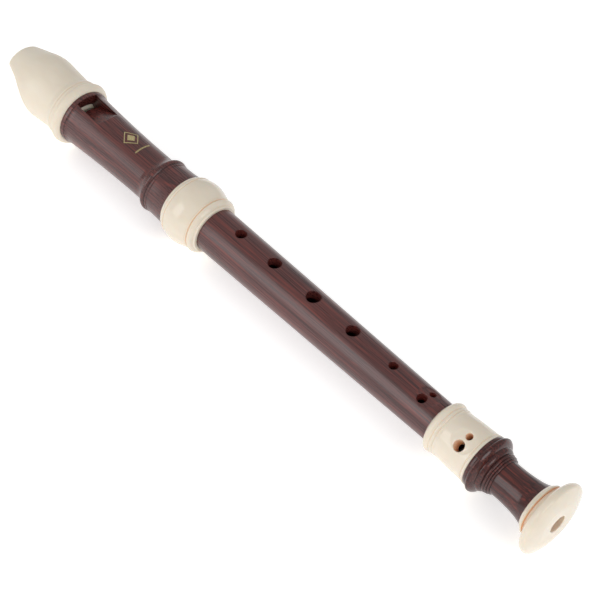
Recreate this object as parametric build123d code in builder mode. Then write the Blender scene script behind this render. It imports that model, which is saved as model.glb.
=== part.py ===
from build123d import *
import math
import os

# Soprano recorder in three joints, lying along X with its finger holes up, in millimetres.
# The beak points to -X and the foot to +X. The origin is on the surface it lies on, below
# the middle of its length. A place along the instrument is a height up from the foot end.

# Overall
overall_length = 327.4
flange_radius = 16.6  # the foot flange, the widest ring, which lies on the surface
foot_end_x = overall_length / 2
axis_height = flange_radius

# Heights of the joins between neighbouring pieces
flange_top = 10.75
bell_top = 38.6
foot_top = 61.8
tube_top = 194.7
bulge_top = 215.1
barrel_top = 282.6

# Fits: the tenons turn and slide in their sockets, and the bulge turns on the barrel
running_clearance = 0.05
glue_length = 6.2
lower_tenon_length = 11.4
lower_tenon_radius = 7.3
upper_tenon_length = 19.5
upper_tenon_radius = 8.7
tenon_end_gap = 0.4
tenon_end_chamfer = 0.4
tenon_waist_depth = 0.25
tenon_band = 3.0
barrel_spigot_radius = 10.6
bulge_wall = 2.4
cap_spigot_radius = 9.8
cap_spigot_length = 16.5
bell_spigot_radius = 7.0
bell_spigot_length = 4.0

# Bore
foot_bore_radius = 3.9
foot_bore_chamfer = 0.25
bell_bore_radius = 4.45
tube_bore_low = 4.8
tube_bore_high = 6.1
head_bore_radius = 6.3

# Finger holes: height up from the foot end, radius, and turn from the top towards -Y
finger_holes = [
    (179.4, 2.5, 0.0),
    (158.8, 3.0, 0.0),
    (135.5, 3.25, 0.0),
    (112.6, 3.0, 0.0),
    (89.6, 2.0, 0.0),
    (71.4, 2.15, 15.0),
    (69.9, 1.45, -15.0),
]
thumb_hole = (184.0, 2.6, 180.0)
foot_turned = 33.0  # how far the player has turned the foot towards the little finger
foot_holes = [(46.25, 2.4, foot_turned + 11.5), (45.5, 1.5, foot_turned - 14.5)]

# The shallow finger dishes round the pairs of holes
dish_radius = 5.3
dish_depth = 0.3
tube_dish_height = 70.1
tube_dish_surface = 8.92
foot_dish_height = 45.85
foot_dish_surface = 11.3

# Window, windway and block
window_half_width = 5.3
window_top = 282.0  # where the windway comes out over the end of the block
window_lean = 0.25  # the window's upper wall leans towards the foot as it rises
labium_height = 278.6
labium_thickness = 0.45
ramp_end = 265.0
ramp_end_radius = 11.43
arch_drop = 6.0  # the arched windway is centred this far below the bore's axis
windway_floor = 5.5
windway_roof = 6.6
windway_flare = 0.5  # the windway's roof is this much higher at the tip
block_chamfer = 0.9
block_skin = 1.0  # wall left under the block in the beak
block_tip_wall = 1.0  # wall left in front of the block at the tip

# Scooped underside of the beak, from the tip down to the turned part
scoop_tip = 3.7
scoop_middle = (312.5, 1.6)
scoop_foot = 303.0
beak_edge_round = 2.0

AXIS = Axis((foot_end_x, 0, axis_height), (-1, 0, 0))
ARCH_AXIS = Axis((foot_end_x, 0, axis_height - arch_drop), (-1, 0, 0))
# Local x of this plane is the height up from the foot end, and local y the radius
PROFILE = Plane(origin=(foot_end_x, 0, axis_height), x_dir=(-1, 0, 0), z_dir=(0, 1, 0))
ARCH_PROFILE = Plane(
    origin=(foot_end_x, 0, axis_height - arch_drop), x_dir=(-1, 0, 0), z_dir=(0, 1, 0)
)


def cross_plane(height):
    """The plane across the instrument at a height: local x is -Y, local y is up."""
    return Plane(
        origin=(foot_end_x - height, 0, axis_height), x_dir=(0, -1, 0), z_dir=(-1, 0, 0)
    )


def radial_plane(height, turn):
    """The plane through the axis that faces out at a turn from the top towards -Y."""
    angle = math.radians(turn)
    out = (0, -math.sin(angle), math.cos(angle))
    return Plane(
        origin=(foot_end_x - height, 0, axis_height), x_dir=(1, 0, 0), z_dir=out
    )


def outline(start, *steps):
    """A closed outline: a step is (end) for a straight run or (middle, end) for an arc."""
    at = start
    for step in steps:
        if len(step) == 1:
            Line(at, step[0])
        else:
            ThreePointArc(at, *step)
        at = step[-1]
    Line(at, start)


def drill(height, radius, turn):
    """Cuts one tone hole through the wall on one side, in the part being built."""
    with BuildSketch(radial_plane(height, turn)) as mouth:
        Circle(radius)
    extrude(mouth.sketch, amount=2 * flange_radius, mode=Mode.SUBTRACT)


def finger_dish(height, turn, surface_radius):
    """The shallow round dish for the finger over a pair of holes."""
    dish_floor = surface_radius - dish_depth
    low = height - 2 * dish_radius
    high = height + 2 * dish_radius
    with BuildPart() as dish:
        with BuildSketch(radial_plane(height, turn)):
            Circle(dish_radius)
        extrude(amount=2 * flange_radius)
        with BuildSketch(PROFILE):
            with BuildLine():
                outline((low, 0), ((low, dish_floor),), ((high, dish_floor),), ((high, 0),))
            make_face()
        revolve(axis=AXIS, mode=Mode.SUBTRACT)
    return dish.part


def windway_passage():
    """The arched air channel from the tip to the window."""
    inlet = overall_length + 1
    outlet = window_top - 1
    floor = arch_drop + windway_floor
    roof = arch_drop + windway_roof
    with BuildPart() as passage:
        with BuildSketch(ARCH_PROFILE):
            with BuildLine():
                outline(
                    (outlet, floor),
                    ((inlet, floor),),
                    ((inlet, roof + windway_flare),),
                    ((outlet, roof),),
                )
            make_face()
        revolve(axis=ARCH_AXIS)
        with BuildSketch(cross_plane(outlet)):
            with Locations((0, flange_radius / 2)):
                Rectangle(2 * window_half_width, flange_radius)
        extrude(amount=overall_length, mode=Mode.INTERSECT)
    return passage.part


def window_cut():
    """The window, the ramp down to the labium edge, and the hollow under the labium."""
    edge = arch_drop + head_bore_radius
    ramp_rise = ramp_end_radius - head_bore_radius - labium_thickness
    ramp_run = labium_height - ramp_end
    ramp_far = labium_height - 2 * ramp_run
    clear = edge + 3 * ramp_rise
    wall_foot = arch_drop + windway_roof
    rim = window_top - window_lean * (clear - wall_foot)
    with BuildPart() as window:
        with BuildSketch(ARCH_PROFILE):
            with BuildLine():
                outline(
                    (window_top, edge - 2),
                    ((window_top, wall_foot),),
                    ((rim, clear),),
                    ((ramp_far, clear),),
                    ((ramp_far, edge + labium_thickness + 2 * ramp_rise),),
                    ((labium_height, edge + labium_thickness),),
                    ((labium_height, edge),),
                    ((ramp_end + 2, edge - 2),),
                )
            make_face()
        revolve(axis=ARCH_AXIS)
        with BuildSketch(cross_plane(ramp_far)):
            with Locations((0, flange_radius / 2)):
                Rectangle(2 * window_half_width, flange_radius)
        extrude(amount=window_top - ramp_far, mode=Mode.INTERSECT)
    return window.part


def beak_underside(inset):
    """All that is below the scooped underside of the beak, raised by an inset."""
    tip = (overall_length + 1, scoop_tip + inset)
    middle = (scoop_middle[0], scoop_middle[1] + inset)
    foot = (scoop_foot - inset, -flange_radius)
    with BuildPart() as below:
        with BuildSketch(PROFILE.offset(-flange_radius)):
            with BuildLine():
                Spline(tip, middle, foot, tangents=[(-1, -0.1), (-0.25, -1)])
                Polyline(foot, (overall_length + 1, -flange_radius), tip)
            make_face()
        extrude(amount=2 * flange_radius)
    return below.part


def block_space():
    """The block's space: a bore plug with an arched top, thinned under the beak."""
    with BuildPart() as space:
        with BuildSketch(cross_plane(window_top)):
            Circle(head_bore_radius)
            with Locations((0, windway_floor / 2)):
                Rectangle(2 * window_half_width, windway_floor)
            with Locations((0, -arch_drop)):
                Circle(arch_drop + windway_floor, mode=Mode.INTERSECT)
        extrude(amount=overall_length - block_tip_wall - window_top)
        add(beak_underside(block_skin), mode=Mode.SUBTRACT)
    return space.part


os.makedirs("parts", exist_ok=True)

# Windway block, the light plug that carries the windway's floor
with BuildPart() as windway_block:
    add(block_space())
    exit_edges = windway_block.edges().group_by(Axis.X)[-1]
    chamfer(exit_edges.sort_by(Axis.Z)[-1], block_chamfer)
windway_block.part.label = "windway_block"
export_step(windway_block.part, "parts/windway_block.step")

# Beak cap, the turned mouthpiece shell with beads at its lower edge and the scooped beak
with BuildPart() as beak_cap:
    with BuildSketch(PROFILE):
        with BuildLine():
            outline(
                (barrel_top, 0),
                ((barrel_top, 13.2),),
                ((283.5, 14.35), (284.6, 15.0)),
                ((285.4, 15.18), (286.2, 14.85)),
                ((286.9, 14.45), (287.2, 14.3)),
                ((287.3, 14.2), (287.45, 14.25)),
                ((288.1, 14.28), (288.75, 14.0)),
                ((288.95, 13.72), (289.15, 13.85)),
                ((289.9, 13.95), (290.6, 13.6)),
                ((291.4, 13.3), (293.0, 13.3)),
                ((299.5, 13.78), (306.0, 14.37)),
                ((310.5, 14.25), (315.0, 13.2)),
                ((324.5, 10.5),),
                ((326.3, 8.75), (overall_length, 6.0)),
                ((overall_length, 0),),
            )
        make_face()
    revolve(axis=AXIS)
    add(beak_underside(0), mode=Mode.SUBTRACT)
    scoop = beak_cap.faces().filter_by(GeomType.EXTRUSION)[0]
    fillet(scoop.edges(), beak_edge_round)
    with BuildSketch(cross_plane(barrel_top)):
        Circle(cap_spigot_radius)
    extrude(amount=cap_spigot_length, mode=Mode.SUBTRACT)
    add(block_space(), mode=Mode.SUBTRACT)
    add(windway_passage(), mode=Mode.SUBTRACT)
beak_cap.part.label = "beak_cap"
export_step(beak_cap.part, "parts/beak_cap.step")

# Head barrel, with the collar, the window, the beads, and the socket for the middle joint
socket_radius = upper_tenon_radius + running_clearance
socket_depth = upper_tenon_length + tenon_end_gap
spigot_foot = tube_top + bulge_wall
with BuildPart() as head_barrel:
    with BuildSketch(PROFILE):
        with BuildLine():
            outline(
                (spigot_foot, 0),
                ((spigot_foot, barrel_spigot_radius),),
                ((bulge_top, barrel_spigot_radius),),
                ((bulge_top, 12.75),),
                ((219.5, 12.38), (224.95, 12.2)),
                ((225.07, 12.08), (225.2, 12.15)),
                ((225.85, 12.4), (226.55, 12.2)),
                ((226.7, 12.05), (226.85, 12.2)),
                ((228.15, 12.85), (229.3, 12.15)),
                ((230.9, 11.2), (233.2, 10.72)),
                ((258.0, 11.15), (278.3, 12.14)),
                ((279.4, 12.3), (280.35, 12.62)),
                ((280.5, 12.48), (280.65, 12.7)),
                ((281.6, 12.9), (barrel_top, 12.85)),
                ((barrel_top, cap_spigot_radius),),
                ((barrel_top + cap_spigot_length, cap_spigot_radius),),
                ((barrel_top + cap_spigot_length, 0),),
            )
        make_face()
    revolve(axis=AXIS)
    with BuildSketch(cross_plane(spigot_foot)):
        Circle(socket_radius)
    extrude(amount=socket_depth - bulge_wall, mode=Mode.SUBTRACT)
    with BuildSketch(cross_plane(spigot_foot)):
        Circle(head_bore_radius)
    extrude(amount=window_top - spigot_foot, mode=Mode.SUBTRACT)
    add(block_space(), mode=Mode.SUBTRACT)
    add(windway_passage(), mode=Mode.SUBTRACT)
    add(window_cut(), mode=Mode.SUBTRACT)
head_barrel.part.label = "head_barrel"
export_step(head_barrel.part, "parts/head_barrel.step")

# Socket bulge, the round ball ring over the head's socket
bulge_bore = barrel_spigot_radius + running_clearance
with BuildPart() as socket_bulge:
    with BuildSketch(PROFILE):
        with BuildLine():
            outline(
                (tube_top, socket_radius),
                ((tube_top, 11.1),),
                ((194.95, 11.5), (195.45, 11.65)),
                ((195.55, 11.65), (195.65, 11.8)),
                ((196.4, 12.75), (197.5, 13.3)),
                ((197.9, 13.2), (198.25, 12.85)),
                ((198.45, 12.65), (198.65, 12.85)),
                ((198.9, 13.15), (199.2, 13.1)),
                ((199.32, 13.05), (199.45, 13.15)),
                ((201.4, 13.75), (203.3, 14.33)),
                ((207.6, 15.02), (211.85, 14.3)),
                ((211.98, 14.12), (212.1, 14.25)),
                ((212.65, 14.35), (213.25, 13.95)),
                ((213.4, 13.6), (213.55, 13.62)),
                ((214.3, 13.45), (bulge_top, 12.85)),
                ((bulge_top, bulge_bore),),
                ((spigot_foot - running_clearance, bulge_bore),),
                ((spigot_foot - running_clearance, socket_radius),),
            )
        make_face()
    revolve(axis=AXIS)
socket_bulge.part.label = "socket_bulge"
export_step(socket_bulge.part, "parts/socket_bulge.step")

# Middle joint, the tapered tube with the finger holes, the thumb hole and both tenons
tenon_foot = foot_top - lower_tenon_length
tenon_head = tube_top + upper_tenon_length
waist_low = lower_tenon_radius - tenon_waist_depth
waist_high = upper_tenon_radius - tenon_waist_depth
with BuildPart() as middle_joint:
    with BuildSketch(PROFILE):
        with BuildLine():
            outline(
                (tenon_foot, tube_bore_low),
                ((tenon_foot, lower_tenon_radius - tenon_end_chamfer),),
                ((tenon_foot + tenon_end_chamfer, lower_tenon_radius),),
                ((tenon_foot + tenon_band, lower_tenon_radius),),
                ((tenon_foot + tenon_band, waist_low),),
                ((foot_top - tenon_band, waist_low),),
                ((foot_top - tenon_band, lower_tenon_radius),),
                ((foot_top, lower_tenon_radius),),
                ((foot_top, 8.83),),
                ((128.0, 9.58), (tube_top, 10.27)),
                ((tube_top, upper_tenon_radius),),
                ((tube_top + tenon_band, upper_tenon_radius),),
                ((tube_top + tenon_band, waist_high),),
                ((tenon_head - tenon_band, waist_high),),
                ((tenon_head - tenon_band, upper_tenon_radius),),
                ((tenon_head - tenon_end_chamfer, upper_tenon_radius),),
                ((tenon_head, upper_tenon_radius - tenon_end_chamfer),),
                ((tenon_head, tube_bore_high),),
            )
        make_face()
    revolve(axis=AXIS)
    add(finger_dish(tube_dish_height, 0, tube_dish_surface), mode=Mode.SUBTRACT)
    for hole in [*finger_holes, thumb_hole]:
        drill(*hole)
middle_joint.part.label = "middle_joint"
export_step(middle_joint.part, "parts/middle_joint.step")

# Foot socket ring, with the socket for the lower tenon and the pair of holes 7
foot_socket_radius = lower_tenon_radius + running_clearance
foot_socket_floor = tenon_foot - tenon_end_gap
bell_spigot_top = bell_top + bell_spigot_length
with BuildPart() as foot_socket_ring:
    with BuildSketch(PROFILE):
        with BuildLine():
            outline(
                (bell_top, bell_spigot_radius),
                ((bell_top, 11.6),),
                ((39.05, 11.85), (39.5, 11.75)),
                ((39.8, 11.6), (39.95, 11.4)),
                ((40.1, 11.35), (40.3, 11.42)),
                ((40.4, 11.5),),
                ((47.5, 11.27), (54.75, 10.8)),
                ((54.9, 10.85),),
                ((55.55, 11.08), (56.05, 10.85)),
                ((56.2, 10.7), (56.4, 10.8)),
                ((57.0, 11.05), (57.6, 11.0)),
                ((57.75, 10.95), (57.9, 11.15)),
                ((59.4, 11.6), (60.4, 11.0)),
                ((61.2, 10.2), (foot_top, 9.2)),
                ((foot_top, foot_socket_radius),),
                ((foot_socket_floor, foot_socket_radius),),
                ((foot_socket_floor, tube_bore_low),),
                ((bell_spigot_top, tube_bore_low),),
                ((bell_spigot_top, bell_spigot_radius),),
            )
        make_face()
    revolve(axis=AXIS)
    add(finger_dish(foot_dish_height, foot_turned, foot_dish_surface), mode=Mode.SUBTRACT)
    for hole in foot_holes:
        drill(*hole)
foot_socket_ring.part.label = "foot_socket_ring"
export_step(foot_socket_ring.part, "parts/foot_socket_ring.step")

# Foot bell, the turned dark piece with its beads and its flared neck
glue_foot = flange_top - glue_length
with BuildPart() as foot_bell:
    with BuildSketch(PROFILE):
        with BuildLine():
            outline(
                (glue_foot, bell_bore_radius),
                ((glue_foot, bell_spigot_radius - running_clearance),),
                ((flange_top, bell_spigot_radius - running_clearance),),
                ((flange_top, 9.85),),
                ((12.5, 9.2), (15.2, 8.54)),
                ((19.5, 8.02), (27.3, 7.76)),
                ((27.9, 7.8),),
                ((28.35, 8.5), (28.8, 8.45)),
                ((28.88, 8.35), (28.96, 8.5)),
                ((29.4, 9.0), (29.82, 8.85)),
                ((29.9, 8.75), (29.98, 8.9)),
                ((30.55, 9.3), (31.15, 9.1)),
                ((31.27, 8.95), (31.4, 9.1)),
                ((32.3, 10.15), (33.5, 10.45)),
                ((33.6, 10.75),),
                ((34.3, 12.0), (35.25, 12.75)),
                ((35.35, 12.68), (35.45, 12.8)),
                ((36.0, 12.85), (36.6, 12.3)),
                ((36.75, 12.0), (36.9, 11.95)),
                ((37.6, 11.95), (bell_top, 11.6)),
                ((bell_top, bell_spigot_radius),),
                ((bell_spigot_top, bell_spigot_radius),),
                ((bell_spigot_top, bell_bore_radius),),
            )
        make_face()
    revolve(axis=AXIS)
foot_bell.part.label = "foot_bell"
export_step(foot_bell.part, "parts/foot_bell.step")

# Foot end ring, the wide flange with the bore's mouth and a flat end that rounds back
with BuildPart() as foot_end_ring:
    with BuildSketch(PROFILE):
        with BuildLine():
            outline(
                (foot_bore_chamfer, foot_bore_radius),
                ((0, foot_bore_radius + foot_bore_chamfer),),
                ((0, 9.0),),
                ((0.75, 12.7), (1.9, 15.55)),
                ((2.5, 16.35), (3.4, flange_radius)),
                ((4.6, 16.25), (5.7, 14.95)),
                ((6.85, 12.85), (8.0, 10.95)),
                ((8.2, 10.6), (8.35, 10.75)),
                ((8.75, 11.42), (9.1, 11.4)),
                ((9.35, 11.15), (9.6, 10.8)),
                ((10.2, 10.5), (flange_top, 9.9)),
                ((flange_top, bell_spigot_radius),),
                ((glue_foot - running_clearance, bell_spigot_radius),),
                ((glue_foot - running_clearance, foot_bore_radius),),
            )
        make_face()
    revolve(axis=AXIS)
foot_end_ring.part.label = "foot_end_ring"
export_step(foot_end_ring.part, "parts/foot_end_ring.step")
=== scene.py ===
"""Soprano recorder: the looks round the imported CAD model, in metres, in the CAD's frame.

Outlines are in millimetres: a height up from the foot end, and a radius from the bore's axis.
A turn is an angle round the axis from the top, where the finger holes are, towards -Y.
"""

import math

import bmesh
import bpy
from mathutils import Matrix, Vector


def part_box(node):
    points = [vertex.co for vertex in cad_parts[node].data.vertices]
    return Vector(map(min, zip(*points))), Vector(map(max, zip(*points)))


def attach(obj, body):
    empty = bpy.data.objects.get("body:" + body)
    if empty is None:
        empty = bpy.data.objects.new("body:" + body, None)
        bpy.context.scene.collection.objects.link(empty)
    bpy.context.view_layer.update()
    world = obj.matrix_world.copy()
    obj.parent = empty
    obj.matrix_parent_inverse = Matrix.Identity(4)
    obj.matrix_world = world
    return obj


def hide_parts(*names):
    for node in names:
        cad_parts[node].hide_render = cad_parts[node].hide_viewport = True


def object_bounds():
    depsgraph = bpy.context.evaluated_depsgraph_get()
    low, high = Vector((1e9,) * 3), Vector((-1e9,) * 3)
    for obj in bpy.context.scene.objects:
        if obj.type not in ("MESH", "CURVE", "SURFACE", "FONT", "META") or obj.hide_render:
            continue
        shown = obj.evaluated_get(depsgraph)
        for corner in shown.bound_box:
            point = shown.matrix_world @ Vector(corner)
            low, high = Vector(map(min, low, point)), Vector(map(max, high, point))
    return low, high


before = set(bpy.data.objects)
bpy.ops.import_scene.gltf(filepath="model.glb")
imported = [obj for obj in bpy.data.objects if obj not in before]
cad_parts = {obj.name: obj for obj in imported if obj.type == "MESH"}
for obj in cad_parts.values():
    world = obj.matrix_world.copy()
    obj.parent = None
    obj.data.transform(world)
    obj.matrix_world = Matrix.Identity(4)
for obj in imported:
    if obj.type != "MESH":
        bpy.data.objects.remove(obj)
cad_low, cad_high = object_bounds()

MM = 0.001
FOOT_X = cad_high.x
AXIS_Z = sum(corner.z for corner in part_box("foot_end_ring")) / 2


def top_height(node):
    """The height of a CAD node's upper end."""
    return (FOOT_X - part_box(node)[0].x) / MM


def low_height(node):
    """The height of a CAD node's lower end."""
    return (FOOT_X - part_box(node)[1].x) / MM


RING_LOW = low_height("foot_socket_ring")
RING_TOP = top_height("foot_socket_ring")
TUBE_LOW = low_height("middle_joint")
TUBE_HIGH = top_height("middle_joint")
BULGE_LOW = low_height("socket_bulge")
BELL_HIGH = top_height("foot_bell")

# Radii inside the pieces
RUNNING_CLEARANCE = 0.05
UPPER_TENON = 8.7
LOWER_TENON = 7.3
BELL_SPIGOT = 7.0
TUBE_BORE_HIGH = 6.1
TUBE_BORE_LOW = 4.8

TENON_BAND = 3.0  # length of the full-width band at each end of a tenon
TENON_WAIST = 0.25  # how much thinner a tenon is between its bands
TENON_END_GAP = 0.4
STEP = 0.01  # height over which a square shoulder rises
DISH_RADIUS = 5.3
FOOT_TURNED = math.radians(33)


# Mesh helpers

ARC_STEP = math.radians(9)  # the widest step of a rounded corner
MOST_OF_SIDE = 0.49  # how much of a side a rounded corner can take
SHARP_ANGLE = math.radians(38)  # edges that turn more than this stay sharp


def place(height, turn, radius):
    """The point at a height, a turn round the axis and a radius."""
    return Vector(
        (
            FOOT_X - height * MM,
            -radius * math.sin(turn) * MM,
            AXIS_Z + radius * math.cos(turn) * MM,
        )
    )


def fillet_arc(here, before, after, fillet):
    """The points of the arc that rounds a corner, where before and after are the ways to
    the corners on each side. The arc is made smaller where the sides are too short for it."""
    half = before.angle(after) / 2
    reach = min(
        fillet / math.tan(half), MOST_OF_SIDE * before.length, MOST_OF_SIDE * after.length
    )
    middle = (before.normalized() + after.normalized()).normalized()
    centre = here + middle * (reach / math.cos(half))
    size = reach * math.tan(half)
    start = here + before.normalized() * reach - centre
    sweep = start.angle_signed(here + after.normalized() * reach - centre)
    steps = max(2, math.ceil(abs(sweep) / ARC_STEP))
    first = math.atan2(start.y, start.x)
    angles = [first - sweep * k / steps for k in range(steps + 1)]
    return [(centre.x + size * math.cos(a), centre.y + size * math.sin(a)) for a in angles]


def rounded(corners):
    """The points of an open outline whose corners are (height, radius, fillet)."""
    points = []
    for i, (height, radius, fillet) in enumerate(corners):
        if not fillet or i in (0, len(corners) - 1):
            points.append((height, radius))
            continue
        here = Vector((height, radius))
        before = Vector(corners[i - 1][:2]) - here
        after = Vector(corners[i + 1][:2]) - here
        points += fillet_arc(here, before, after, fillet)
    return points


def new_object(name, work):
    """An object from a bmesh, with its faces outward and smooth, and sharp edges kept."""
    bmesh.ops.remove_doubles(work, verts=work.verts, dist=1e-7)
    bmesh.ops.recalc_face_normals(work, faces=work.faces)
    mesh = bpy.data.meshes.new(name)
    work.to_mesh(mesh)
    work.free()
    mesh.shade_smooth()
    mesh.set_sharp_from_angle(angle=SHARP_ANGLE)
    made = bpy.data.objects.new(name, mesh)
    bpy.context.scene.collection.objects.link(made)
    return made


def radius_at(run, height):
    """The radius of a run of (height, radius) points at a height."""
    for (h0, r0), (h1, r1) in zip(run, run[1:]):
        if h0 <= height <= h1 and h1 > h0:
            return r0 + (r1 - r0) * (height - h0) / (h1 - h0)
    raise ValueError(f"height {height} is outside the run")


def with_rows(run, heights):
    """The run with extra points at these heights."""
    extra = [h for h in heights if all(abs(h - p[0]) > 0.02 for p in run)]
    points = list(run)
    for height in extra:
        radius = radius_at(run, height)
        at = next(i for i, p in enumerate(points) if p[0] > height)
        points.insert(at, (height, radius))
    return points


def spread(low, high, count):
    """Evenly spaced values from low to high, both included."""
    return [low + (high - low) * i / count for i in range(count + 1)]


EDGE_ROUND = 0.3  # rounding of the tone holes' mouths
EDGE_STEPS = 5
PATCH_LAYERS = 9  # loops of faces between a hole's patch border and its rim
PATCH_EASING = 1.35  # how much the loops crowd towards the rim
PAIR_PARTING = -1.5  # where the patches of a pair of holes meet, in degrees
ROWS_AT_HOLE = 10
ROWS_AT_DISH = 34
DISH_MARGIN = 0.3
DISH_EXPONENT = 6  # a high one gives a flat floor with a short slope at its edge


class Hole:
    """A tone hole and the patch of the tube's grid that is remade round it.

    Its direction is a turn, and one of a pair is offset to one side of it. The end in the
    bore can be narrower, radius_in, and nearer the middle, offset_in, than the mouth. The
    patch reaches a margin past the hole along the tube, and columns degrees round it."""

    def __init__(
        self,
        height,
        radius,
        turn=0.0,
        offset=0.0,
        columns=45,
        margin=0.9,
        radius_in=None,
        offset_in=None,
    ):
        self.height = height
        self.turn = turn
        mouth = (radius, offset)
        bore_end = (
            radius if radius_in is None else radius_in,
            offset if offset_in is None else offset_in,
        )
        self.ends = (mouth, bore_end)
        self.half = radius + margin
        if offset > 0:
            self.columns = (PAIR_PARTING, columns)
        elif offset < 0:
            self.columns = (-columns, PAIR_PARTING)
        else:
            self.columns = (-columns, columns)

    def column_span(self, step):
        """The first and last column of the grid that bound its patch."""
        return [
            math.floor((self.turn + math.radians(c)) / step + 0.5) for c in self.columns
        ]

    def row_span(self, run):
        """The first and last row of the grid that bound its patch."""
        rows = range(len(run))
        low, high = self.height - self.half, self.height + self.half
        return (
            min(rows, key=lambda i: abs(run[i][0] - low)),
            min(rows, key=lambda i: abs(run[i][0] - high)),
        )


def apart(values, least):
    """The sorted values, without those that are too close to the one before."""
    kept = []
    for value in sorted(values):
        if not kept or value - kept[-1] > least:
            kept.append(value)
    return kept


def dished(dish):
    """A function that takes the finger dish off a radius at a height and turn."""
    if not dish:
        return lambda height, turn, radius: radius
    centre, middle, size, depth = dish

    def surface(height, turn, radius):
        away = math.hypot(height - centre, 2 * radius * math.sin((turn - middle) / 2))
        return radius - depth * max(0.0, 1 - (away / size) ** DISH_EXPONENT)

    return surface


def grid_of(work, run, surface, segments):
    """Rings of vertices on a turned surface."""
    step = 2 * math.pi / segments
    return [
        [work.verts.new(place(h, j * step, surface(h, j * step, r))) for j in range(segments)]
        for h, r in run
    ]


def skin(work, near, far):
    """Faces between two closed loops of vertices."""
    for a in range(len(near)):
        b = (a + 1) % len(near)
        work.faces.new((near[a], near[b], far[b], far[a]))


def patch_border(hole, run, step):
    """The (row, column) places round the hole's rectangle of the grid."""
    first, last = hole.column_span(step)
    i0, i1 = hole.row_span(run)
    return (
        [(i0, j) for j in range(first, last)]
        + [(i, last) for i in range(i0, i1)]
        + [(i1, j) for j in range(last, first, -1)]
        + [(i, first) for i in range(i1, i0, -1)]
    )


def hole_layers(work, hole, run, surface, grid, mouth):
    """Loops that run from the hole's rectangle of the grid to its circle, and over the
    rounded edge at its mouth. The last loop is the rim of the hole's wall."""
    segments = len(grid[0])
    step = 2 * math.pi / segments
    radius, offset = hole.ends[0 if mouth else 1]
    border = patch_border(hole, run, step)
    starts = [
        Vector(
            (
                run[i][0] - hole.height,
                run[i][1] * math.sin(j * step - hole.turn) - offset,
            )
        )
        for i, j in border
    ]

    def vertex(spot, sink=0.0):
        """A vertex on the surface over a spot of the plane across the hole."""
        height, across = hole.height + spot.x, offset + spot.y
        turned = radius_at(run, height)
        size = turned
        for _ in range(3):
            size = surface(height, hole.turn + math.asin(across / size), turned)
        up = math.sqrt(size**2 - across**2) - sink
        return work.verts.new(
            place(height, hole.turn + math.atan2(across, up), math.hypot(across, up))
        )

    rim = radius + (EDGE_ROUND if mouth else 0)
    layers = [[grid[i][j % segments] for i, j in border]]
    for k in range(1, PATCH_LAYERS + 1):
        blend = 1 - (1 - k / PATCH_LAYERS) ** PATCH_EASING
        layers.append([vertex(s.lerp(s.normalized() * rim, blend)) for s in starts])
    if mouth:
        for k in range(1, EDGE_STEPS + 1):
            angle = math.pi / 2 * k / EDGE_STEPS
            out = radius + EDGE_ROUND * (1 - math.sin(angle))
            sink = EDGE_ROUND * (1 - math.cos(angle))
            layers.append([vertex(s.normalized() * out, sink) for s in starts])
    return layers


def fine_rows(holes, dish):
    """The heights at which the grid needs a row, for the holes and the dish."""
    rows = []
    for hole in holes:
        rows += spread(hole.height - hole.half, hole.height + hole.half, ROWS_AT_HOLE)
    centre, _, size, _ = dish
    reach = size + DISH_MARGIN
    rows += spread(centre - reach, centre + reach, ROWS_AT_DISH)
    return apart(rows, 0.05)


def skin_grid(work, grid, patches):
    """The faces of a grid, without those inside the holes' patches."""
    segments = len(grid[0])
    for i in range(len(grid) - 1):
        for j in range(segments):
            if any(
                i0 <= i < i1 and (j - first) % segments < last - first
                for i0, i1, first, last in patches
            ):
                continue
            k = (j + 1) % segments
            work.faces.new((grid[i][j], grid[i][k], grid[i + 1][k], grid[i + 1][j]))


def bored_tube(name, outer, inner, holes, segments, dish):
    """A closed tube with round tone holes through its wall, whose mouths are rounded, and
    a finger dish of (height, turn, radius, depth) in its outside."""
    rows = fine_rows(holes, dish)
    step = 2 * math.pi / segments
    work = bmesh.new()
    sides = [
        (with_rows(outer, rows), dished(dish), True),
        (with_rows(inner, rows), dished(None), False),
    ]
    grids = []
    rims = []
    for run, surface, mouth in sides:
        grid = grid_of(work, run, surface, segments)
        grids.append(grid)
        patches = [(*hole.row_span(run), *hole.column_span(step)) for hole in holes]
        skin_grid(work, grid, patches)
        ends = []
        for hole in holes:
            layers = hole_layers(work, hole, run, surface, grid, mouth)
            for near, far in zip(layers, layers[1:]):
                skin(work, near, far)
            ends.append(layers[-1])
        rims.append(ends)
    for outside, inside in zip(*rims):
        if len(outside) != len(inside):
            raise ValueError(f"{name}: the two ends of a hole have different rims")
        skin(work, outside, inside)
    for end in (0, -1):
        skin(work, grids[0][end], grids[1][end])
    loose = [v for v in work.verts if not v.link_faces]
    bmesh.ops.delete(work, geom=loose, context="VERTS")
    return new_object(name, work)


# Materials


def new_material(name):
    """A material with its node tree, and its shader."""
    material = bpy.data.materials.new(name)
    material.use_nodes = True
    return material, material.node_tree, material.node_tree.nodes["Principled BSDF"]


def stretched_noise(tree, scale, along, detail=4.0, roughness=0.55):
    """Noise in the object's own place, drawn out along the instrument."""
    place_node = tree.nodes.new("ShaderNodeTexCoord")
    mapping = tree.nodes.new("ShaderNodeMapping")
    mapping.inputs["Scale"].default_value = (scale / along, scale, scale)
    noise = tree.nodes.new("ShaderNodeTexNoise")
    noise.inputs["Scale"].default_value = 1.0
    noise.inputs["Detail"].default_value = detail
    noise.inputs["Roughness"].default_value = roughness
    tree.links.new(place_node.outputs["Object"], mapping.inputs["Vector"])
    tree.links.new(mapping.outputs["Vector"], noise.inputs["Vector"])
    return noise.outputs["Fac"]


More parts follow.
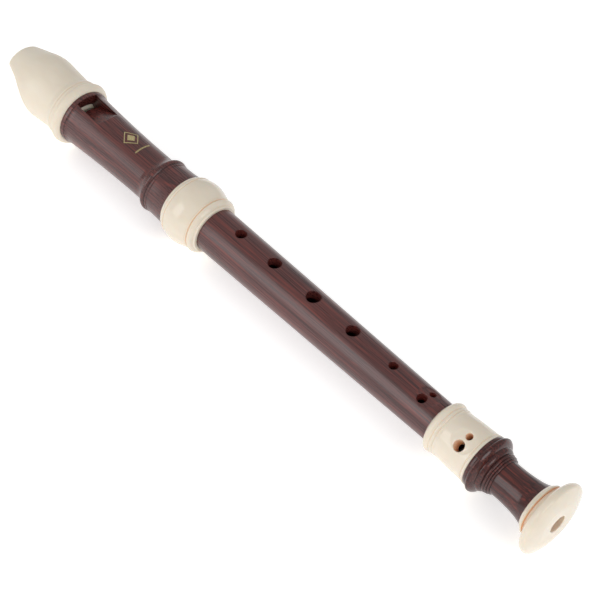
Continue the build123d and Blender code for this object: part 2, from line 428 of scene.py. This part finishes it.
def ramp(tree, value, *stops):
    """A colour ramp of (position, colour) stops."""
    node = tree.nodes.new("ShaderNodeValToRGB")
    node.color_ramp.elements[0].position = stops[0][0]
    node.color_ramp.elements[0].color = (*stops[0][1], 1)
    node.color_ramp.elements[1].position = stops[-1][0]
    node.color_ramp.elements[1].color = (*stops[-1][1], 1)
    for position, colour in stops[1:-1]:
        node.color_ramp.elements.new(position).color = (*colour, 1)
    tree.links.new(value, node.inputs["Fac"])
    return node.outputs["Color"]


def mix(tree, factor, first, second):
    """A mix of two colour outputs or colours by a factor output or number."""
    node = tree.nodes.new("ShaderNodeMix")
    node.data_type = "RGBA"
    for socket, value in zip((0, 6, 7), (factor, first, second)):
        if isinstance(value, bpy.types.NodeSocket):
            tree.links.new(value, node.inputs[socket])
        elif socket:
            node.inputs[socket].default_value = (*value, 1)
        else:
            node.inputs[socket].default_value = value
    return node.outputs[2]


def remap(tree, value, low, high, new_low, new_high):
    """A value mapped from one range to another, clamped."""
    node = tree.nodes.new("ShaderNodeMapRange")
    for socket, number in zip(range(1, 5), (low, high, new_low, new_high)):
        node.inputs[socket].default_value = number
    tree.links.new(value, node.inputs[0])
    return node.outputs[0]


def bump(tree, height, depth):
    """A bump of a real depth, in metres."""
    node = tree.nodes.new("ShaderNodeBump")
    node.inputs["Strength"].default_value = 1.0
    node.inputs["Distance"].default_value = depth
    tree.links.new(height, node.inputs["Height"])
    return node.outputs["Normal"]


def rgb(red, green, blue):
    """A screen colour of 0 to 255 as the linear colour that a shader takes."""
    values = (red / 255, green / 255, blue / 255)
    return tuple(v / 12.92 if v <= 0.04045 else ((v + 0.055) / 1.055) ** 2.4 for v in values)


def occlusion(tree, distance):
    """How open a place is: 1 on a plain surface, less in a groove or hole."""
    node = tree.nodes.new("ShaderNodeAmbientOcclusion")
    node.inputs["Distance"].default_value = distance
    node.samples = 6
    node.only_local = True
    return node.outputs["AO"]


def rosewood_plastic(name, roughness, shade, specular):
    """Dark red-brown moulded plastic with streaks of rosewood in it, with painted shade
    darkening its grooves and a painted red glow in deep hollows. The shade, 0 to 1, darkens
    all of it."""
    material, tree, shader = new_material(name)
    broad = stretched_noise(tree, 300, 24, detail=3)
    streaks = stretched_noise(tree, 1700, 70, detail=5, roughness=0.65)
    dashes = stretched_noise(tree, 3200, 30, detail=2)
    base = ramp(
        tree,
        streaks,
        (0.35, rgb(50, 30, 31)),
        (0.46, rgb(80, 42, 40)),
        (0.55, rgb(98, 48, 44)),
        (0.65, rgb(138, 64, 54)),
    )
    shaded = mix(
        tree, remap(tree, broad, 0.35, 0.65, 0.0, 0.5), base, rgb(70, 38, 36)
    )
    red = mix(
        tree, remap(tree, dashes, 0.62, 0.74, 0.0, 0.5), shaded, rgb(142, 64, 52)
    )
    dark = mix(tree, remap(tree, dashes, 0.38, 0.26, 0.0, 0.6), red, rgb(42, 26, 27))
    shaded_dark = mix(tree, shade, dark, rgb(24, 10, 10))
    # Painted shade: the grooves are darkened by how enclosed they are.
    groove = remap(tree, occlusion(tree, 0.0016), 0.5, 0.88, 0.9, 0.0)
    dark_groove_shade = mix(tree, groove, shaded_dark, rgb(26, 13, 13))
    # Painted light: deep hollows get a brighter red than the surface, a painted glow.
    hollow = remap(tree, occlusion(tree, 0.008), 0.12, 0.35, 0.9, 0.0)
    red_hollow_glow = mix(tree, hollow, dark_groove_shade, rgb(150, 52, 42))
    tree.links.new(red_hollow_glow, shader.inputs["Base Color"])
    tree.links.new(
        remap(tree, streaks, 0.3, 0.7, roughness - 0.04, roughness + 0.05),
        shader.inputs["Roughness"],
    )
    tree.links.new(bump(tree, streaks, 0.00002), shader.inputs["Normal"])
    shader.inputs["Specular IOR Level"].default_value = specular
    return material


def ivory_plastic(name, roughness):
    """Warm off-white moulded plastic that lets a little light through. A painted tan shade
    lies in its grooves and a painted tan glow in its hollows."""
    material, tree, shader = new_material(name)
    cloud = stretched_noise(tree, 120, 1.5, detail=2)
    grain = stretched_noise(tree, 3500, 1, detail=2)
    tint = ramp(tree, cloud, (0.35, rgb(226, 214, 195)), (0.65, rgb(230, 219, 201)))
    # Painted shade: the grooves get a darker tan, for shade warmed by light through the
    # plastic.
    groove = remap(tree, occlusion(tree, 0.002), 0.35, 0.85, 0.6, 0.0)
    tan_groove_shade = mix(tree, groove, tint, rgb(232, 197, 158))
    # Painted light: the bore and holes get a brighter tan, a painted glow of light through
    # the plastic.
    hollow = remap(tree, occlusion(tree, 0.009), 0.3, 0.62, 1.0, 0.0)
    deep = mix(tree, hollow, tan_groove_shade, rgb(250, 206, 168))
    tree.links.new(deep, shader.inputs["Base Color"])
    tree.links.new(
        remap(tree, cloud, 0.3, 0.7, roughness - 0.02, roughness + 0.03),
        shader.inputs["Roughness"],
    )
    tree.links.new(bump(tree, grain, 0.000006), shader.inputs["Normal"])
    shader.inputs["Subsurface Weight"].default_value = 0.2
    shader.inputs["Subsurface Radius"].default_value = (1.0, 0.55, 0.3)
    shader.inputs["Subsurface Scale"].default_value = 0.0018
    return material


def gold_foil():
    """Thin hot-stamped gold with worn, uneven shine."""
    material, tree, shader = new_material("gold_foil")
    wear = stretched_noise(tree, 2400, 1, detail=4)
    colour = ramp(tree, wear, (0.3, rgb(178, 160, 112)), (0.7, rgb(222, 208, 160)))
    tree.links.new(colour, shader.inputs["Base Color"])
    tree.links.new(remap(tree, wear, 0.3, 0.7, 0.3, 0.5), shader.inputs["Roughness"])
    shader.inputs["Metallic"].default_value = 0.75
    return material


ROSEWOOD_SATIN = rosewood_plastic("rosewood_satin", 0.28, 0.05, 0.6)
ROSEWOOD_GLOSS = rosewood_plastic("rosewood_gloss", 0.15, 0.35, 0.42)
IVORY_SATIN = ivory_plastic("ivory_satin", 0.4)
IVORY_GLOSS = ivory_plastic("ivory_gloss", 0.08)
GOLD = gold_foil()


def finish_piece(piece, material, body, node):
    """Gives a new piece its material, puts it under its body, and hides the CAD node that it
    stands for.
    """
    piece.data.materials.clear()
    piece.data.materials.append(material)
    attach(piece, body)
    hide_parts(node)


# Pieces


def make_foot_socket_ring():
    socket = LOWER_TENON + RUNNING_CLEARANCE
    outer = rounded(
        [
            (RING_LOW, BELL_SPIGOT, 0),
            (RING_LOW, 11.66, 0.06),
            (39.0, 11.88, 0.3),
            (39.55, 11.74, 0.3),
            (40.0, 11.30, 0.1),
            (40.25, 11.30, 0.06),
            (40.42, 11.50, 0.08),
            (47.5, 11.27, 6.0),
            (54.75, 10.80, 0.05),
            (54.95, 10.86, 0.08),
            (55.55, 11.12, 0.5),
            (56.1, 10.84, 0.08),
            (56.25, 10.68, 0.06),
            (56.45, 10.84, 0.08),
            (57.0, 11.07, 0.4),
            (57.62, 11.0, 0.06),
            (57.78, 10.90, 0.06),
            (57.95, 11.22, 0.1),
            (59.1, 11.76, 1.2),
            (60.5, 11.15, 0.8),
            (61.3, 10.05, 0.6),
            (RING_TOP, 9.2, 0.1),
            (RING_TOP, socket, 0),
        ]
    )
    floor = TUBE_LOW - TENON_END_GAP
    inner = [
        (RING_LOW, BELL_SPIGOT - 0.001),
        (BELL_HIGH, BELL_SPIGOT),
        (BELL_HIGH + STEP, TUBE_BORE_LOW),
        (floor, TUBE_BORE_LOW),
        (floor + STEP, socket),
        (RING_TOP, socket - 0.001),
    ]
    big = Hole(46.25, 2.4, FOOT_TURNED, 2.3, 66, margin=0.5, radius_in=1.9, offset_in=2.05)
    small = Hole(45.5, 1.5, FOOT_TURNED, -2.87, 60, margin=0.6, radius_in=1.3, offset_in=-2.2)
    dish = (45.85, FOOT_TURNED, DISH_RADIUS, 0.45)
    return bored_tube("hole_seven_ring", outer, inner, [big, small], 240, dish)


def make_middle_joint():
    low_waist = LOWER_TENON - TENON_WAIST
    high_waist = UPPER_TENON - TENON_WAIST
    outer = rounded(
        [
            (TUBE_LOW, TUBE_BORE_LOW, 0),
            (TUBE_LOW, LOWER_TENON, 0.4),
            (TUBE_LOW + TENON_BAND, LOWER_TENON, 0.15),
            (TUBE_LOW + TENON_BAND + 0.1, low_waist, 0.1),
            (RING_TOP - TENON_BAND, low_waist, 0.1),
            (RING_TOP - TENON_BAND + 0.1, LOWER_TENON, 0.15),
            (RING_TOP, LOWER_TENON, 0),
            (RING_TOP + STEP, 8.83, 0.05),
            (128.0, 9.58, 0),
            (BULGE_LOW, 10.25, 0.1),
            (BULGE_LOW + STEP, UPPER_TENON, 0),
            (BULGE_LOW + TENON_BAND, UPPER_TENON, 0.15),
            (BULGE_LOW + TENON_BAND + 0.1, high_waist, 0.1),
            (TUBE_HIGH - TENON_BAND, high_waist, 0.1),
            (TUBE_HIGH - TENON_BAND + 0.1, UPPER_TENON, 0.15),
            (TUBE_HIGH - STEP, UPPER_TENON, 0.4),
            (TUBE_HIGH, TUBE_BORE_HIGH, 0),
        ]
    )
    inner = [(TUBE_LOW, TUBE_BORE_LOW), (TUBE_HIGH, TUBE_BORE_HIGH)]
    holes = [
        Hole(179.4, 2.5, columns=35),
        Hole(158.8, 3.0, columns=42),
        Hole(135.5, 3.25, columns=48),
        Hole(112.6, 3.0, columns=46),
        Hole(89.6, 2.0, columns=35),
        Hole(71.4, 2.15, 0.0, 2.3, 68, radius_in=1.9, offset_in=2.15),
        Hole(69.9, 1.45, 0.0, -2.3, 60, radius_in=1.3, offset_in=-2.0),
        Hole(184.0, 2.6, turn=math.pi, columns=35),
    ]
    dish = (70.1, 0.0, DISH_RADIUS, 0.45)
    return bored_tube("finger_hole_tube", outer, inner, holes, 192, dish)


LOZENGE_HEIGHT = 250.5
BARREL_RADIUS = 10.76  # of the head barrel at BARREL_FOOT, under the ornament
BARREL_FOOT = 240.0
BARREL_TAPER = 0.0247
ORNAMENT_LIFT = 0.02  # how far the foil stands off the barrel
ORNAMENT_THICKNESS = 0.03


def barrel_radius(height):
    """The radius at which the ornament lies over the head barrel."""
    return BARREL_RADIUS + BARREL_TAPER * (height - BARREL_FOOT) + ORNAMENT_LIFT


def lozenge(half_long, half_wide):
    """A lozenge's corners, as (height, distance round the barrel)."""
    return [
        (LOZENGE_HEIGHT + half_long, 0.0),
        (LOZENGE_HEIGHT, half_wide),
        (LOZENGE_HEIGHT - half_long, 0.0),
        (LOZENGE_HEIGHT, -half_wide),
    ]


def oblong(low, high, half_wide):
    """An oblong's corners, as (height, distance round the barrel)."""
    return [(high, -half_wide), (high, half_wide), (low, half_wide), (low, -half_wide)]


def foil_band(work, outer, inner, steps=16):
    """A band on the barrel between two outlines that have as many corners."""
    count = len(outer)
    for a in range(count):
        b = (a + 1) % count
        rows = []
        for k in range(steps + 1):
            t = k / steps
            pair = []
            for loop in (outer, inner):
                h = loop[a][0] + (loop[b][0] - loop[a][0]) * t
                s = loop[a][1] + (loop[b][1] - loop[a][1]) * t
                radius = barrel_radius(h)
                pair.append(work.verts.new(place(h, s / radius, radius)))
            rows.append(pair)
        for near, far in zip(rows, rows[1:]):
            work.faces.new((near[0], far[0], far[1], near[1]))


def make_ornament():
    """A plain stamped lozenge with a bar under it, on the barrel above the finger holes."""
    work = bmesh.new()
    foil_band(work, lozenge(4.6, 4.2), lozenge(4.0, 3.65))
    foil_band(work, lozenge(2.3, 2.1), lozenge(0.05, 0.045), steps=8)
    foil_band(work, oblong(242.5, 243.2, 4.0), oblong(242.8, 242.9, 3.9))
    bmesh.ops.remove_doubles(work, verts=work.verts, dist=1e-7)
    bmesh.ops.solidify(work, geom=list(work.faces), thickness=ORNAMENT_THICKNESS * MM)
    ornament = new_object("gold_lozenge", work)
    ornament.data.materials.append(GOLD)
    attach(ornament, "head")


finish_piece(
    make_foot_socket_ring(), IVORY_GLOSS, "foot", "foot_socket_ring"
)
finish_piece(
    make_middle_joint(), ROSEWOOD_SATIN, "middle", "middle_joint"
)
make_ornament()
KEPT = {
    "foot_end_ring": IVORY_GLOSS,
    "foot_bell": ROSEWOOD_GLOSS,
    "socket_bulge": IVORY_GLOSS,
    "head_barrel": ROSEWOOD_SATIN,
    "beak_cap": IVORY_SATIN,
    "windway_block": IVORY_SATIN,
}
for node, material in KEPT.items():
    for material_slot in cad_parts[node].material_slots:
        material_slot.material = material


# Floor, light and camera

FLOOR_HALF = 6.0
FLOOR_GLOW = 0.42  # keeps the shadows on the floor pale
WORLD_STRENGTH = 0.56
KEY_SIDE = Vector((-0.33, -0.84, 0.43))  # from the recorder towards the key light
FOOT_SIDE = Vector((0.80, -0.13, 0.59))  # towards a second light, off the foot's end
CAMERA_LENS = 114.0
CAMERA_DISTANCE = 0.776
CAMERA_RIGHT = Vector((0.680, 0.724, 0.111))  # the camera's right, and roughly its up
CAMERA_UP = Vector((-0.584, 0.444, 0.679))
AIM_FROM_FOOT = 0.143  # the point on the axis that the camera looks at
AIM_SHIFT = 0.0009  # a small shift of the aim, along (right, up)
AIM_SHIFT_RIGHT, AIM_SHIFT_UP = 0.651, 0.759


def make_floor():
    mesh = bpy.data.meshes.new("floor")
    half = FLOOR_HALF
    mesh.from_pydata(
        [(-half, -half, 0), (half, -half, 0), (half, half, 0), (-half, half, 0)],
        [],
        [(0, 1, 2, 3)],
    )
    floor = bpy.data.objects.new("floor", mesh)
    bpy.context.scene.collection.objects.link(floor)
    material, _, shader = new_material("floor_paint")
    shader.inputs["Base Color"].default_value = (*rgb(254, 254, 254), 1)
    shader.inputs["Roughness"].default_value = 0.9
    shader.inputs["Emission Color"].default_value = (1, 1, 1, 1)
    shader.inputs["Emission Strength"].default_value = FLOOR_GLOW
    mesh.materials.append(material)


def make_world():
    world = bpy.data.worlds.new("studio")
    bpy.context.scene.world = world
    world.use_nodes = True
    background = world.node_tree.nodes["Background"]
    background.inputs["Color"].default_value = (1, 1, 1, 1)
    background.inputs["Strength"].default_value = WORLD_STRENGTH


def softbox(name, centre, facing, width, height, power):
    """A soft rectangular light, with its width along the recorder if it faces across it."""
    data = bpy.data.lights.new(name, "AREA")
    data.shape = "RECTANGLE"
    data.size = width
    data.size_y = height
    data.energy = power
    light = bpy.data.objects.new(name, data)
    light.location = centre
    light.rotation_euler = (-Vector(facing)).to_track_quat("Z", "Y").to_euler()
    bpy.context.scene.collection.objects.link(light)


def make_camera():
    """A long lens that looks down on the holes, past the foot's end."""
    data = bpy.data.cameras.new("camera")
    data.lens = CAMERA_LENS
    data.sensor_width = 36.0
    data.clip_start = 0.01
    camera = bpy.data.objects.new("camera", data)
    right = CAMERA_RIGHT.normalized()
    back = right.cross(CAMERA_UP).normalized()
    up = back.cross(right)
    aim = Vector((FOOT_X - AIM_FROM_FOOT, 0, AXIS_Z))
    aim = aim + (right * AIM_SHIFT_RIGHT + up * AIM_SHIFT_UP) * AIM_SHIFT
    turned = Matrix(
        (
            (right.x, up.x, back.x),
            (right.y, up.y, back.y),
            (right.z, up.z, back.z),
        )
    )
    camera.matrix_world = (
        Matrix.Translation(aim + back * CAMERA_DISTANCE) @ turned.to_4x4()
    )
    bpy.context.scene.collection.objects.link(camera)
    bpy.context.scene.camera = camera


make_floor()
make_world()
softbox("key_softbox", 2.5 * KEY_SIDE, -KEY_SIDE, 1.35, 1.9, 18.0)
softbox("foot_softbox", 2.0 * FOOT_SIDE, -FOOT_SIDE, 1.2, 0.8, 8.6)
make_camera()
bpy.context.scene.view_settings.view_transform = "Standard"
